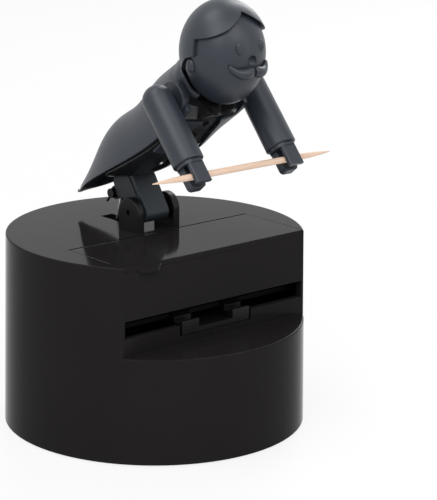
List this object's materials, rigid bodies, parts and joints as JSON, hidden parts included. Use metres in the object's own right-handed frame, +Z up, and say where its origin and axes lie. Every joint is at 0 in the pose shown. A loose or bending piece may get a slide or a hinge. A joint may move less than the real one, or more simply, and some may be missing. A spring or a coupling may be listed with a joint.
{
  "type": "toothpick dispenser",
  "caption": "Round toothpick box with a bowing butler on top: his hands pick one up from the fork slide pushed out of the flat front's slot.",
  "frame": {"origin": "centre of the round base on the resting plane, under the four rubber pads", "axes": "+Z up; the flat front with the slot and the butler's face look along -Y; +X is to the right seen from the front, and the butler bows about +X"},
  "size_m": [0.0878, 0.0878, 0.1267],
  "materials": {
    "gloss_black": "polished black",
    "black_plastic": "moulded, satin",
    "slate": "satin dark slate",
    "rubber": "matt",
    "steel": "bright drawn wire",
    "black_steel": "blackened spring wire",
    "wood": "plain birch"
  },
  "bodies": {
    "base": {"drum_shell": "gloss_black", "base_plate": "black_plastic", "foot_pads": "rubber", "base_screws": "steel", "track_screws": "steel", "hopper": "black_plastic", "hopper_screws": "steel", "pivot_bracket": "black_plastic", "bracket_screws": "steel", "return_spring": "black_steel", "slide_track": "black_plastic", "rocker_bracket": "black_plastic", "rocker_bracket_screws": "steel"},
    "figure": {"leg": "slate", "link_pin": "black_steel", "pin_clip": "black_steel", "waistcoat_body": "slate", "body_screw": "steel", "coat_shell": "slate", "lapels": "slate", "coat_collar": "slate", "waistcoat_buttons": "gloss_black", "bow_tie": "gloss_black", "neck_peg": "slate", "head": "slate", "hair_cap": "slate", "ears": "gloss_black", "moustache": "slate", "shoulder_rod": "steel", "sleeve_left": "slate", "sleeve_right": "slate", "hand_left": "slate", "hand_right": "slate"},
    "lid": {"lid": "gloss_black"},
    "link": {"wire_link": "steel"},
    "rocker": {"rocker": "black_plastic", "rocker_pins": "steel"},
    "slide": {"fork_slide": "black_plastic"},
    "toothpick": {"toothpick": "wood"},
    "axle": {"axle_pin": "steel"},
    "shaft": {"rocker_shaft": "steel"}
  },
  "joints": [
    {"name": "figure_bow", "type": "hinge", "parent": "base", "child": "figure", "pos_m": [0, 0.0041, 0.0613], "axis": [1, 0, 0], "range_deg": [0, 56.82], "stiffness_Nm_per_rad": 0.012, "springref_deg": -68.75, "deforming": ["return_spring"]},
    {"name": "lid_hinge", "type": "hinge", "parent": "base", "child": "lid", "pos_m": [0, -0.0036, 0.055], "axis": [1, 0, 0], "range_deg": [-65, 0]},
    {"name": "link_swing", "type": "hinge", "parent": "figure", "child": "link", "pos_m": [0, 0.0146, 0.065], "axis": [1, 0, 0], "range_deg": [-56.85, 0]},
    {"name": "rocker_turn", "type": "hinge", "parent": "base", "child": "rocker", "pos_m": [0, 0.0159, 0.0209], "axis": [1, 0, 0], "range_deg": [0, 56.85]},
    {"name": "fork_travel", "type": "slide", "parent": "base", "child": "slide", "axis": [0, -1, 0], "range_m": [0, 0.01115]},
    {"name": "toothpick_draw", "type": "slide", "parent": "figure", "child": "toothpick", "axis": [1, 0, 0], "range_m": [0, 0.055]},
    {"name": "axle_spin", "type": "hinge", "parent": "base", "child": "axle", "pos_m": [0, 0.0041, 0.0613], "axis": [1, 0, 0], "continuous": true},
    {"name": "shaft_spin", "type": "hinge", "parent": "base", "child": "shaft", "pos_m": [0, 0.0159, 0.0209], "axis": [1, 0, 0], "continuous": true}
  ],
  "couplings": [
    {"joint": "link_swing", "follows": "figure_bow", "ratio": -1},
    {"joint": "rocker_turn", "follows": "figure_bow", "ratio": 1},
    {"joint": "fork_travel", "follows": "figure_bow", "m_per_rad": 0.011244}
  ]
}
